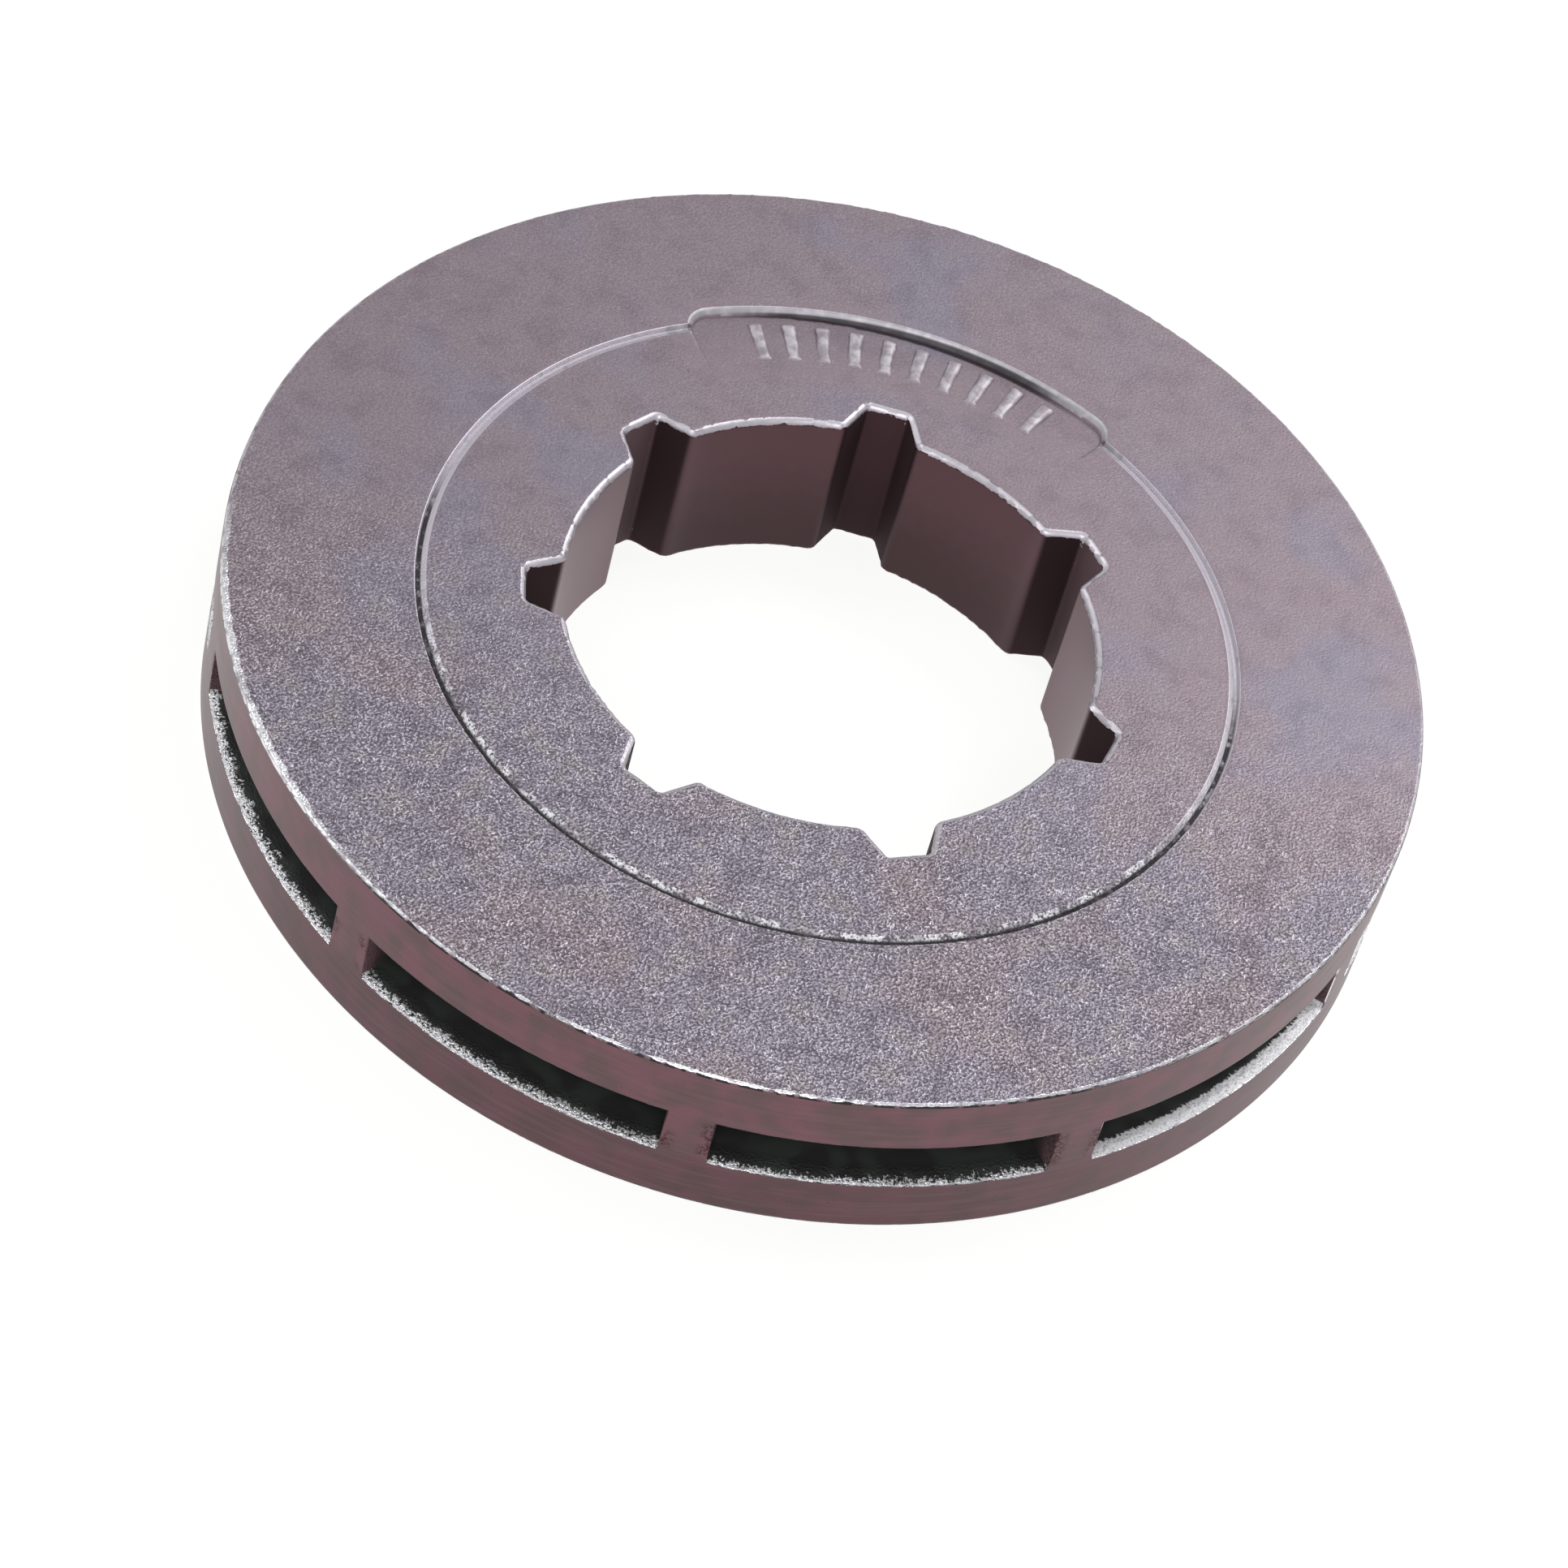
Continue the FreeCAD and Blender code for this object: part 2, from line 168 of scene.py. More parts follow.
def colour(name, description, red, green, blue):
    """A colour setting for the sidebar."""
    return bpy.props.FloatVectorProperty(name=name, description=description, subtype="COLOR", size=4,
                                         min=0, max=1, default=(red, green, blue, 1))


class SprocketColours(bpy.types.PropertyGroup):
    """Colours of the sprocket's finishes."""

    face_pink: colour("Face, warm", "Warm patches of the blasted faces", 0.345, 0.278, 0.312)
    face_blue: colour("Face, cool", "Cool patches of the blasted faces", 0.322, 0.286, 0.345)
    face_tan: colour("Face, tan", "Small dull patches of the blasted faces", 0.35, 0.305, 0.30)
    # face_dark colours the real stains and also the painted shade in the grain's hollows
    face_dark: colour("Face, dark", "Pits and stains of the blasted faces", 0.10, 0.085, 0.10)
    # painted glints: bright specks that stand in for light glinting off the grain
    face_painted_glint: colour("Face, specks", "Bright specks of the blasted faces", 0.85, 0.81, 0.88)
    side_red: colour("Sides, red", "Warm film on the turned sides", 0.172, 0.086, 0.101)
    side_brown: colour("Sides, brown", "Dull film on the turned sides", 0.13, 0.082, 0.085)
    side_low: colour("Sides, lower", "Duller film on the lower flange", 0.085, 0.050, 0.054)
    side_pale: colour("Sides, pale", "Turning lines on the sides", 0.26, 0.16, 0.18)
    scuff_red: colour("Sides, scuffs", "Rough spots beside the slots", 0.075, 0.028, 0.036)
    bore_high: colour("Bore, upper", "Bore walls near the upper face", 0.12, 0.064, 0.073)
    # painted sheen: the bore's left and right walls made paler, as light glancing off them would
    bore_sheen: colour("Bore, sides", "Rubbed bore walls at the left and right", 0.26, 0.19, 0.21)
    bore_low: colour("Bore, lower", "Bore walls near the lower face", 0.07, 0.042, 0.045)
    # dark marks (the side's pits, specks on worn edges) and painted shade (ring bottom, panel lip's foot,
    # under the rim's bright band)
    dark_marks_and_shade: colour("Grooves", "Dirt in the ring, the panel's foot and side pits", 0.03, 0.026, 0.03)
    # painted shade: keyway flanks and corners, which face sideways, are darkened
    bore_flank_shade: colour("Bore, flanks", "Flanks and corners of the keyways", 0.065, 0.038, 0.043)
    # painted shade: the slots' insides are coloured near black, with greener patches
    slot_shade: colour("Slots", "Inside of the slots", 0.026, 0.025, 0.025)
    slot_green_shade: colour("Slots, oily", "Oily patches inside the slots", 0.04, 0.047, 0.041)
    # partly bare worn steel, partly painted light: the ledge is near white where the slot's mouth is lit
    ledge_bare_and_lit: colour("Slot ledges", "Bare ledge along each slot's lower lip", 0.97, 0.96, 0.98)
    # edge colours: partly bare worn steel, partly painted highlight on the roundings
    edge_grey: colour("Edges, grey", "Rubbed edges where the film is thin", 0.50, 0.48, 0.51)
    edge_bright: colour("Edges, bright", "Edges worn to bare steel", 0.88, 0.87, 0.90)
    lip_pale: colour("Panel lip", "Soft pale edges of the panel and its strokes", 0.66, 0.62, 0.67)


def sizes():
    """The sprocket's sizes as the sidebar shows them."""
    return bpy.context.scene.sprocket_sizes


def deselect_all():
    """Leave object mode with nothing selected."""
    if bpy.context.object and bpy.context.object.mode != "OBJECT":
        bpy.ops.object.mode_set(mode="OBJECT")
    bpy.ops.object.select_all(action="DESELECT")


def use(piece):
    """Make a piece the only selected one, and the active one."""
    deselect_all()
    piece.select_set(True)
    bpy.context.view_layer.objects.active = piece


def edit(piece):
    """Go into edit mode on one piece with nothing picked."""
    use(piece)
    bpy.ops.object.mode_set(mode="EDIT")
    bpy.ops.mesh.select_all(action="DESELECT")


def leave_edit():
    """Back to object mode."""
    bpy.ops.object.mode_set(mode="OBJECT")


def pick(kind, test):
    """In edit mode, select the verts, edges or faces that pass the test."""
    mesh = bpy.context.object.data
    bpy.ops.mesh.select_mode(type=kind)
    bpy.ops.mesh.select_all(action="DESELECT")
    shape = bmesh.from_edit_mesh(mesh)
    parts = {"VERT": shape.verts, "EDGE": shape.edges, "FACE": shape.faces}[kind]
    found = [part for part in parts if test(part)]
    for part in found:
        part.select_set(True)
    shape.select_flush_mode()
    bmesh.update_edit_mesh(mesh)
    if not found:
        raise RuntimeError("nothing to pick on " + bpy.context.object.name)


def pick_all():
    """In edit mode, select everything."""
    bpy.ops.mesh.select_all(action="SELECT")


def turn_between(start, centre, end):
    """The anticlockwise angle round a centre from one point to another."""
    first, last = start - centre, end - centre
    return (math.atan2(last.y, last.x) - math.atan2(first.y, first.x)) % FULL_TURN


def radius(point):
    """Distance of a point from the sprocket's axis."""
    return math.hypot(point.x, point.y)


def bearing(point):
    """Angle of a point round the axis from the panel's middle line, in radians."""
    return math.atan2(point.x, point.y)


def is_corner(edge):
    """Whether the two faces at an edge turn by more than a few degrees."""
    return len(edge.link_faces) == 2 and edge.calc_face_angle(0) > math.radians(20)


def is_side_border(edge):
    """Whether an edge parts the rim's side from a slot or from a rounding."""
    low = sizes().rim_radius - 0.004 * MM
    on_side = [all(radius(v.co) > low for v in face.verts) for face in edge.link_faces]
    return any(on_side) and not all(on_side)


def add_modifier(piece, kind, **settings):
    """Add one modifier with these settings and apply it."""
    use(piece)
    modifier = piece.modifiers.new(kind.title(), kind)
    for name, value in settings.items():
        setattr(modifier, name, value)
    bpy.ops.object.modifier_apply(modifier=modifier.name)


def carve(piece, cutter):
    """Cut one closed shape out of the piece, and throw the cutter away."""
    before = len(piece.data.polygons)
    add_modifier(piece, "BOOLEAN", operation="DIFFERENCE", solver="MANIFOLD", object=cutter)
    if len(piece.data.polygons) == before:
        raise RuntimeError(cutter.name + " cuts nothing")
    bpy.data.objects.remove(cutter)


def start_outline(name, point):
    """A new piece that holds a single picked corner, in edit mode."""
    deselect_all()
    bpy.ops.mesh.primitive_plane_add(size=MM)
    piece = bpy.context.object
    piece.name = name
    bpy.ops.object.mode_set(mode="EDIT")
    bpy.ops.mesh.select_mode(type="VERT")
    pick_all()
    bpy.ops.mesh.merge(type="CENTER")
    bpy.ops.transform.translate(value=point)
    return piece


def draw_line(start, end, steps=1):
    """Draw on from the picked corner in a straight line."""
    step = (Vector(end) - Vector(start)) / steps
    for _ in range(steps):
        bpy.ops.mesh.extrude_region_move(TRANSFORM_OT_translate={"value": step})
    return Vector(end)


def draw_arc(start, centre, turn, steps):
    """Draw on from the picked corner round a centre, anticlockwise for a positive angle."""
    arm = Vector(start) - Vector(centre)
    swing = Matrix.Rotation(turn / steps, 3, "Z")
    for _ in range(steps):
        swung = swing @ arm
        bpy.ops.mesh.extrude_region_move(TRANSFORM_OT_translate={"value": swung - arm})
        arm = swung
    return Vector(centre) + arm


def mirror_across():
    """Add the mirror image of what was drawn, across the panel's middle line."""
    pick_all()
    bpy.ops.mesh.duplicate()
    bpy.ops.transform.mirror(constraint_axis=(True, False, False), center_override=(0, 0, 0))


def merge():
    """Merge doubles and select everything."""
    pick_all()
    bpy.ops.mesh.remove_doubles(threshold=NEAR)
    pick_all()


def close_and_raise(rise, shift=(0, 0, 0)):
    """Fill the closed outline that was drawn, raise it into a block and shift that to its place."""
    merge()
    bpy.ops.mesh.edge_face_add()
    bpy.ops.mesh.extrude_region_move(TRANSFORM_OT_translate={"value": rise})
    tidy_normals()
    pick_all()
    bpy.ops.transform.translate(value=shift)


def tidy_normals():
    """Merge doubles and point all the faces outwards."""
    merge()
    bpy.ops.mesh.normals_make_consistent(inside=False)


def turned_ring(name, corners, steps, turn=FULL_TURN):
    """A closed section of (radius, height) corners, turned round the axis from one side to the other."""
    start = Matrix.Rotation(turn / 2, 3, "Z")
    places = [start @ Vector((0, across, up)) for across, up in corners]
    piece = start_outline(name, places[0])
    for here, there in zip(places, places[1:]):
        draw_line(here, there)
    pick_all()
    bpy.ops.mesh.edge_face_add()
    bpy.ops.mesh.spin(steps=steps, angle=turn, center=(0, 0, 0), axis=UP)
    if turn == FULL_TURN:
        merge()
        pick("FACE", lambda face: all(len(edge.link_faces) > 2 for edge in face.edges))
        bpy.ops.mesh.delete(type="FACE")
    tidy_normals()
    leave_edit()
    return piece


class Finish:
    """Lays out one material's nodes, on object coordinates counted in millimetres."""

    def __init__(self, name):
        self.material = bpy.data.materials.new(name)
        self.material.use_nodes = True
        self.tree = self.material.node_tree
        self.tree.nodes.clear()
        place = self.node("ShaderNodeTexCoord")
        self.place = self.vector("SCALE", place.outputs["Object"], scale=1 / MM)
        self.normal = place.outputs["Normal"]
        self.height = self.part(self.place, "Z")
        self.flat_place = self.vector("MULTIPLY", self.place, (1, 1, 0))
        self.reach = self.vector("LENGTH", self.flat_place)
        self.heading = self.vector("NORMALIZE", self.flat_place)

    def node(self, kind, inputs=None, **settings):
        """Add a node, and set or wire its inputs."""
        node = self.tree.nodes.new(kind)
        for name, value in settings.items():
            setattr(node, name, value)
        for socket, value in (inputs or {}).items():
            self.put(node.inputs[socket], value)
        return node

    def put(self, socket, value):
        """Set one input to a value, or wire it to an output."""
        if isinstance(value, bpy.types.NodeSocket):
            self.tree.links.new(value, socket)
        else:
            socket.default_value = value

    def vector(self, operation, first, second=(0, 0, 0), scale=1.0):
        """A vector sum, product, length or the like."""
        node = self.node("ShaderNodeVectorMath", {0: first, 1: second, 3: scale}, operation=operation)
        return node.outputs["Value" if operation in ("LENGTH", "DOT_PRODUCT") else "Vector"]

    def part(self, vector, axis):
        """One part of a vector: X, Y or Z."""
        return self.node("ShaderNodeSeparateXYZ", {"Vector": vector}).outputs[axis]

    def number(self, operation, first, *others):
        """Numbers joined one after another by an operation, or one number that it changes."""
        for other in others or (0.0,):
            first = self.node("ShaderNodeMath", {0: first, 1: other}, operation=operation).outputs[0]
        return first

    def sum(self, *values):
        """Numbers added up."""
        return self.number("ADD", *values)

    def less(self, value, taken):
        """One number less another."""
        return self.number("SUBTRACT", value, taken)

    def times(self, *values):
        """Numbers multiplied together."""
        return self.number("MULTIPLY", *values)

    def both(self, *masks):
        """Where all the masks hold."""
        return self.number("MULTIPLY", *masks)

    def either(self, *masks):
        """Where any of the masks holds."""
        return self.number("MAXIMUM", *masks)

    def unlike(self, mask):
        """Where a mask doesn't hold."""
        return self.less(1.0, mask)

    def step(self, value, none, full):
        """A soft step, up or down, from 0 at one value to 1 at the other."""
        return self.node("ShaderNodeMapRange", {"Value": value, "From Min": none, "From Max": full},
                         interpolation_type="SMOOTHSTEP").outputs[0]

    def spread(self, value, low, high):
        """A 0 to 1 value laid over another range."""
        return self.node("ShaderNodeMapRange", {"Value": value, "To Min": low, "To Max": high}).outputs[0]

    def noise(self, size, detail, rough=0.5, place=None):
        """Cloudy noise whose blots are about this many millimetres across."""
        return self.node("ShaderNodeTexNoise", {
            "Vector": place or self.place, "Scale": 1 / size, "Detail": detail,
            "Roughness": rough}).outputs["Fac"]

    def blend(self, mask, first, second):
        """One colour turning into another where the mask holds."""
        return self.node("ShaderNodeMix", {0: mask, 6: first, 7: second}, data_type="RGBA").outputs[2]

    def change(self, mask, first, second):
        """One number turning into another where the mask holds."""
        return self.node("ShaderNodeMix", {0: mask, 2: first, 3: second}, data_type="FLOAT").outputs[0]

    def bump(self, height, depth):
        """Relief whose full height is this many millimetres."""
        return self.node("ShaderNodeBump", {"Height": height, "Distance": depth * MM}).outputs["Normal"]

    def close(self, **sockets):
        """End in the one shader, whose sockets take these values."""
        shader = self.node("ShaderNodeBsdfPrincipled")
        for name, value in sockets.items():
            self.put(shader.inputs[name.replace("_", " ")], value)
        self.node("ShaderNodeOutputMaterial", {"Surface": shader.outputs[0]})
        return self.material


class BlastedSteel(Finish):
    """The sprocket's steel: blasted faces, brown turned sides, bare worn edges partly painted as highlights
    and slots painted dark as shade.

    Lengths are in millimetres. Each mask is 1 where it holds and 0 where it doesn't.
    """

    def __init__(self):
        super().__init__("blasted_steel")
        s = self.s = sizes()
        self.c = bpy.context.scene.sprocket_colours
        self.top, self.rim = s.thickness / MM, s.rim_radius / MM
        self.slot_low = (s.thickness - s.slot_height) / 2 / MM
        self.slot_high = self.slot_low + s.slot_height / MM
        self.lay_noises()
        self.lay_zones()
        self.lay_wear()

    def lay_noises(self):
        """The noises that all the finishes share, and how coarse the grain is from the panel's side on."""
        self.fine = self.noise(GRAIN, 1, 0.6)
        self.worms = self.number("ABSOLUTE", self.less(self.noise(WORM, 0), 0.5))
        self.clumps = self.noise(CLUMP, 1, 0.55)
        self.stains = self.noise(STAIN, 1, 0.6)
        self.patches = self.noise(PATCH, 1, 0.55)
        self.coarse = self.spread(self.step(self.part(self.place, "Y"), SHARP_FROM, SHARP_TO), 0.14, 1.0)
        self.lumps = self.change(self.spread(self.coarse, 0.0, 0.6), self.clumps, self.fine)
        along = self.vector("ADD", self.vector("SCALE", self.heading, scale=self.rim / LINE_LENGTH),
                            self.vector("MULTIPLY", self.place, (0, 0, 1 / LINE_HEIGHT)))
        self.lines = self.noise(1.0, 1, 0.6, place=along)

    def lay_zones(self):
        """Masks of the places on the sprocket, and which way its surface looks there."""
        step, reach, height, rim = self.step, self.reach, self.height, self.rim
        self.tilt = self.number("ABSOLUTE", self.part(self.normal, "Z"))
        self.facing = self.number("ABSOLUTE", self.vector("DOT_PRODUCT", self.normal, self.heading))
        self.aside, self.ahead = self.part(self.heading, "X"), self.part(self.heading, "Y")
        self.upper = step(height, self.top - 1.1, self.top - 0.9)
        self.ring = self.both(step(reach, RING_FROM, RING_FROM + 0.05), step(reach, RING_TO, RING_TO - 0.05),
                              self.unlike(self.in_panel()), self.upper)
        self.panel = self.both(self.in_panel(0.06), step(reach, PANEL_FROM, PANEL_FROM + 0.1),
                               step(reach, PANEL_TO, PANEL_TO - 0.1))
        self.upright = self.both(step(self.tilt, 0.55, 0.3), self.unlike(self.ring))
        self.bore = step(reach, BORE_TO + 0.1, BORE_TO - 0.1)
        self.at_rim = step(reach, rim - EDGE_WIDTH, rim - EDGE_WIDTH + 0.1)
        self.in_slot = self.both(step(height, self.slot_low - 0.13, self.slot_low - 0.11),
                                 step(height, self.slot_high + 0.08, self.slot_high + 0.02),
                                 step(reach, 17.0, 17.5), step(reach, rim - 0.03, rim - 0.07))
        self.smooth = step(self.aside, 0.55, 0.66)

    def in_panel(self, more=0.0):
        """Where the upper face lies within the marking panel's angle, or this much more at each end."""
        near = math.cos(self.s.panel_angle / 2 + more)
        return self.both(self.step(self.ahead, near - 0.002, near + 0.002), self.upper)

    def lay_wear(self):
        """Where edges are worn bare, partly painted highlight: by their slope, broken up by noise, broader
        at the rim's front left.
        """
        step, spread, change, times = self.step, self.spread, self.change, self.times
        tilt, reach, height, top, rim = self.tilt, self.reach, self.height, self.top, self.rim
        clumps, coarse, at_rim = self.clumps, self.coarse, self.at_rim
        broad = self.both(at_rim, step(self.aside, -0.5, -0.8), step(self.ahead, -0.05, -0.3))
        start = self.less(change(at_rim, 0.25, 0.60), times(broad, 0.32))
        swing = self.sum(spread(clumps, -1, 1), times(spread(self.fine, -1, 1), 0.5))
        # the bright band's start by slope on the rounding: partly painted highlight
        paler = self.less(self.sum(tilt, times(swing, change(at_rim, 0.25, 0.09))), start)
        worn = self.both(step(paler, -0.04, 0.04), step(tilt, 0.99, 0.975), step(tilt, 0.05, 0.15),
                         step(height, 0.8, 1.2))

        crumbs = change(step(coarse, 0.4, 0.95), 1.0, spread(step(self.lumps, 0.46, 0.55), 0.1, 0.95))
        # painted light: the ring's far part is pale over its whole groove
        self.lit_far_ring = self.both(self.ring, step(coarse, 0.95, 0.4))
        worn = self.either(times(worn, change(self.ring, 1.0, crumbs)),
                           self.both(self.lit_far_ring, step(height, top - 0.01, top - 0.04)))
        # painted highlight: the rim's bright band is fainter towards the far side
        worn = times(worn, change(at_rim, 1.0, spread(coarse, 0.2, 1.0)))
        # partly painted highlight: only the upper part of the panel's lip wall is pale
        lip = self.both(spread(step(reach, 18.9, 19.1), 0.2, 1.0), step(height, top - 0.34, top - 0.2))
        worn = times(worn, change(self.both(self.panel, self.unlike(self.ring)), 1.0, lip))
        wavy = self.sum(reach, spread(clumps, -0.12, 0.12))
        self.worn = self.either(worn, self.both(broad, step(wavy, rim - 0.34, rim - 0.30), tilt))
        # partly painted highlight: bright slot mouths only at the right side
        self.mouth = self.both(step(self.facing, 0.2, 0.4), step(self.facing, 0.96, 0.9), self.upright,
                               step(reach, rim - 0.14, rim - 0.1), step(clumps, 0.44, 0.54),
                               step(self.aside, 0.56, 0.62))

    def face(self):
        """Blasted face: warm and cool patches, stains, painted shade in the grain's hollows, painted glints
        and the raised strokes.
        """
        step, spread, blend, s, c = self.step, self.spread, self.blend, self.s, self.c
        fine, clumps, stains, coarse = self.fine, self.clumps, self.stains, self.coarse
        blue = self.sum(self.patches, spread(step(self.part(self.place, "Y"), 20.0, -20.0), -0.1, 0.1))
        face = blend(step(blue, 0.38, 0.62), c.face_pink, c.face_blue)
        face = blend(self.both(step(stains, 0.5, 0.3), spread(coarse, 0.1, 0.6)), face, c.face_tan)
        face = blend(self.both(step(stains, 0.45, 0.75), spread(coarse, 0.12, 0.4)), face, c.face_dark)
        # painted shade: darker where the grain's relief is low, in its hollows
        face = blend(self.both(step(fine, 0.56, 0.36), coarse, 0.72), face, c.face_dark)
        # painted glints: bright on the grain's thin ridges, where its relief is high
        glints = self.both(step(self.worms, 0.07, 0.014), step(fine, 0.40, 0.62),
                           spread(step(clumps, 0.3, 0.7), 0.4, 1.0), coarse)
        face = blend(glints, face, c.face_painted_glint)

        floor_level = self.top + panel_slope() * s.panel_inner_radius / MM
        level = self.sum(self.height, self.times(self.reach, panel_slope()))
        raised = self.both(self.in_panel(-0.1), step(level, floor_level + 0.03, floor_level + 0.1),
                           step(self.height, self.top - 0.01, self.top - 0.02))
        return blend(self.both(raised, spread(step(clumps, 0.35, 0.65), 0.3, 0.9)), face, c.lip_pale)

    def side(self):
        """Turned side: a warm film with lines, pits and scuffs beside the slots, and the bore's walls."""
        step, blend, c, height = self.step, self.blend, self.c, self.height
        fine, clumps, stains = self.fine, self.clumps, self.stains
        side = blend(step(stains, 0.36, 0.66), c.side_red, c.side_brown)
        low_flange = step(self.sum(height, stains), self.slot_low + 1.2, self.slot_low)
        side = blend(self.both(low_flange, 0.45), side, c.side_low)
        side = blend(self.both(step(self.lines, 0.42, 0.7), 0.15), side, c.side_pale)
        side = blend(self.both(step(fine, 0.27, 0.2), self.unlike(self.bore), 0.7), side, c.dark_marks_and_shade)
        pitch = self.times(self.number("ARCTAN2", self.aside, self.ahead), self.s.slot_count / FULL_TURN)
        off_web = self.times(self.number("PINGPONG", pitch, 0.5), FULL_TURN * self.rim / self.s.slot_count)
        scuffs = self.both(step(off_web, 0.35, 0.9), step(off_web, 1.9, 1.6),
                           step(height, self.slot_low, self.slot_low + 0.5),
                           step(height, self.slot_high, self.slot_high - 0.3),
                           step(fine, 0.42, 0.56), step(stains, 0.44, 0.52))
        side = blend(scuffs, side, c.scuff_red)

        level = self.sum(height, self.spread(clumps, -0.6, 0.6))
        wall = blend(step(level, 1.0, 8.0), c.bore_low, c.bore_high)
        # painted sheen: paler bore walls at the left and right
        paler = self.both(step(self.number("ABSOLUTE", self.aside), 0.6, 0.95), 0.8)
        wall = blend(paler, wall, c.bore_sheen)
        # painted shade on the keyways' flanks and corners
        wall = blend(step(self.facing, 0.98, 0.6), wall, c.bore_flank_shade)
        return blend(self.bore, side, wall)

    def ledge(self):
        """Where the bare crumbly ledge lies on a slot's lower lip, partly painted light: wider and smoother
        at the right.
        """
        step, change, times, aside = self.step, self.change, self.times, self.aside
        streaks = self.vector("ADD", self.vector("SCALE", self.heading, scale=self.rim / STRAW_WIDTH),
                              self.vector("SCALE", UP, scale=times(self.reach, 2.2)))
        straws = self.noise(1.0, 0, place=streaks)
        width = change(step(aside, -0.05, 0.05), LEDGE_LEFT, LEDGE_FRONT)
        width = change(step(aside, 0.55, 0.62), width, LEDGE_RIGHT)
        outward = self.less(self.sum(self.reach, width), self.rim)
        crumbs = self.sum(times(self.fine, 0.45), times(straws, 0.2), times(self.clumps, 0.35))
        crumbs = change(self.smooth, crumbs, self.spread(crumbs, 0.28, 0.72))
        return self.both(step(self.sum(crumbs, times(outward, 0.6)), 0.52, 0.6),
                         step(self.height, self.slot_low + 0.12, self.slot_low + 0.06))

    def slot(self, side, ledge):
        """Inside of a slot: painted shade, black with greener patches, the side's film on its flanks, and
        the bare ledge.
        """
        step, blend, c, rim = self.step, self.blend, self.c, self.rim
        # painted shade inside the slot, near black with greener patches
        inside = blend(step(self.stains, 0.42, 0.62), c.slot_shade, c.slot_green_shade)
        flank = self.both(self.upright, step(self.facing, 0.7, 0.4), step(self.reach, rim - 1.5, rim - 0.1))
        solid = self.either(step(self.fine, 0.34, 0.5), step(self.reach, rim - 0.16, rim - 0.11))
        # the ledge: partly bare steel, partly painted light at the slot's mouth
        crumb = blend(solid, blend(self.smooth, c.slot_green_shade, c.lip_pale), c.ledge_bare_and_lit)
        return blend(ledge, blend(flank, inside, side), crumb)

    def bare(self):
        """Bare metal of the worn edges, partly painted highlight: bright at the rim, softer at the bore,
        panel and far ring.
        """
        step, blend, change, c, clumps = self.step, self.blend, self.change, self.c, self.clumps
        bright = blend(step(clumps, change(self.at_rim, 0.42, 0.26), 0.6), c.edge_grey, c.edge_bright)
        specks = self.both(step(self.fine, 0.48, 0.36), step(self.coarse, 0.3, 0.9),
                           self.unlike(self.at_rim), 0.8)
        bright = blend(specks, bright, c.dark_marks_and_shade)
        soft = self.either(self.panel, self.bore, self.lit_far_ring)
        pale = step(clumps, change(self.panel, 0.15, 0.40), change(self.panel, 0.45, 0.80))
        return blend(soft, bright, blend(pale, c.edge_grey, c.lip_pale))

    def painted_groove_shade(self):
        """Where shade is painted: at the foot of the panel's lip and in the bottom of the ring."""
        step, spread, aside, top, coarse = self.step, self.spread, self.aside, self.top, self.coarse
        wavy = self.sum(aside, spread(self.clumps, -0.3, 0.3))
        foot_start = spread(step(wavy, -0.45, 0.1), 19.42, 19.22)
        level = self.less(self.height, self.both(step(aside, -0.4, 0.2), 0.1))
        # painted shade along the foot of the panel's lip
        foot = self.both(self.in_panel(), step(self.less(self.reach, foot_start), -0.07, 0.06),
                         step(level, top - 0.18, top - 0.30), step(aside, -0.5, -0.3),
                         step(aside, 0.46, 0.3), 0.85)
        depth = self.s.ring_depth / MM
        bottom = top - depth
        # painted shade in the ring's bottom: strong on the near side, fading at the far side
        shade_top = self.change(coarse, bottom + 0.15 * depth, bottom + 0.5 * depth)
        ring_bottom_shade = self.both(self.ring, step(self.height, shade_top, bottom + 0.05 * depth),
                           spread(step(coarse, 0.12, 0.3), 0.08, 0.95),
                           spread(step(self.lumps, 0.34, 0.5), 0.5, 1.0))
        return self.either(foot, ring_bottom_shade)

    def paint(self, ledge):
        """All the colours laid over one another."""
        step, blend, c, side = self.step, self.blend, self.c, self.side()
        # painted shade: a dark line along the lower slope of the rim's rounding, under its bright band
        rim_painted_shade = self.both(self.at_rim, step(self.tilt, 0.1, 0.2), step(self.tilt, 0.62, 0.5),
                          step(self.clumps, 0.42, 0.5))
        paint = blend(self.upright, self.face(), side)
        paint = blend(self.both(rim_painted_shade, 0.9), paint, c.dark_marks_and_shade)
        # worn edges and slot mouths: partly bare steel, partly painted highlight
        paint = blend(self.either(self.worn, self.mouth), paint, self.bare())
        # painted shade in the ring and at the panel lip's foot
        paint = blend(self.painted_groove_shade(), paint, c.dark_marks_and_shade)
        return blend(self.both(self.in_slot, self.unlike(self.mouth)), paint, self.slot(side, ledge))

    def roughness(self, ledge):
        """Matt faces and slots, smoother sides and worn edges."""
        change, spread, fine = self.change, self.spread, self.fine
        bore = change(self.step(self.reach, 12.3, 12.5), 0.5, 0.8)
        side = change(self.bore, spread(self.lines, 0.3, 0.46), bore)
        rough = change(self.upright, spread(fine, 0.36, 0.60), side)
        rough = change(self.worn, rough, change(self.at_rim, 0.45, spread(fine, 0.25, 0.42)))
        rough = change(self.either(self.panel, self.ring), rough, 0.56)
        return change(self.in_slot, rough, change(ledge, 0.75, 0.35))

